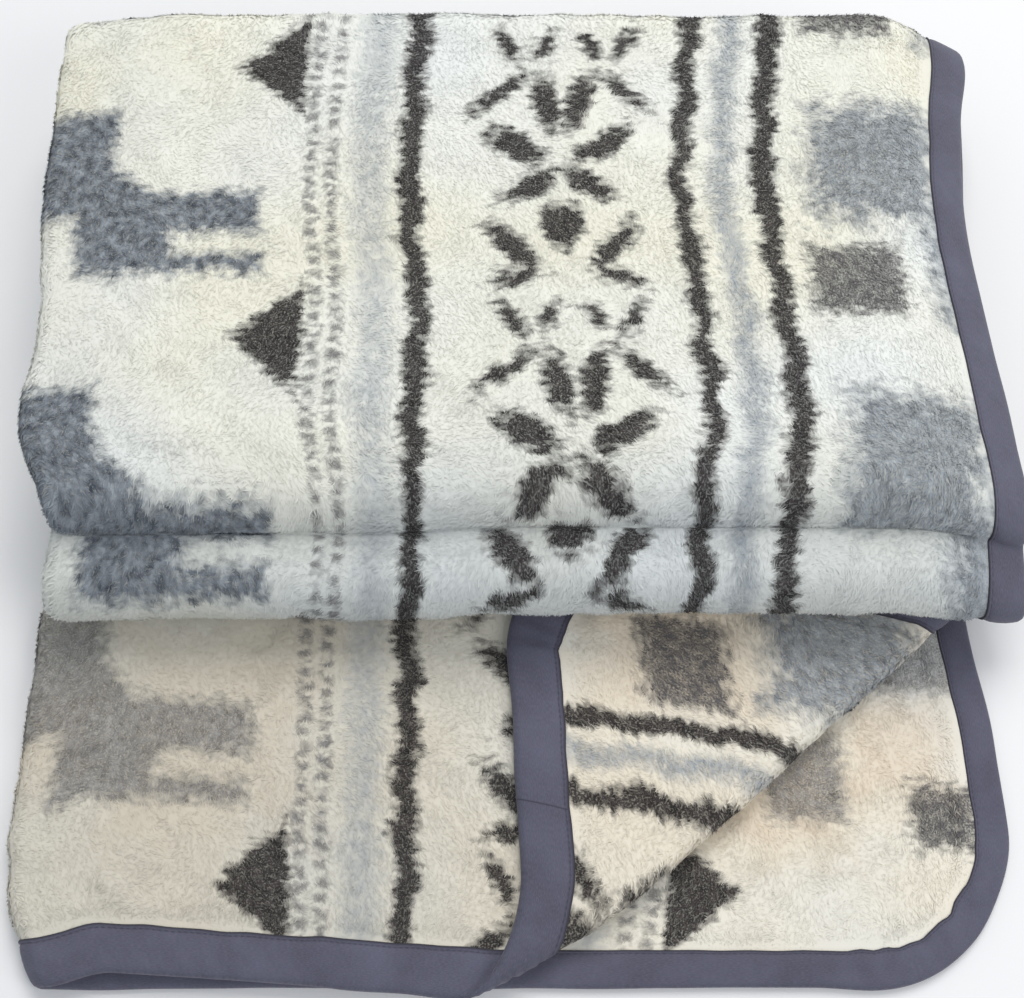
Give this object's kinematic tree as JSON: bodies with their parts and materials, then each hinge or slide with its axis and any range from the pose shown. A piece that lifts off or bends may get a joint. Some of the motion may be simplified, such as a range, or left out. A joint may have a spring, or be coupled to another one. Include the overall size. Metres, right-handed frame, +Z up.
{
  "type": "wool blanket",
  "caption": "Bound fleece wool blanket, folded in half and then over itself, with the front corner of its upper layer turned back.",
  "frame": {"origin": "middle of the folded blanket's footprint, on the surface it lies on", "axes": "+Z up through the folds, +Y from the open front panel to the back of the pack, +X from the side fold to the bound open edges"},
  "size_m": [0.5189, 0.5275, 0.1074],
  "materials": {
    "fleece": "deep brushed wool pile, matt",
    "binding": "plain woven cotton, matt"
  },
  "bodies": {
    "root": {"fleece": "fleece", "binding": "binding"}
  },
  "joints": []
}
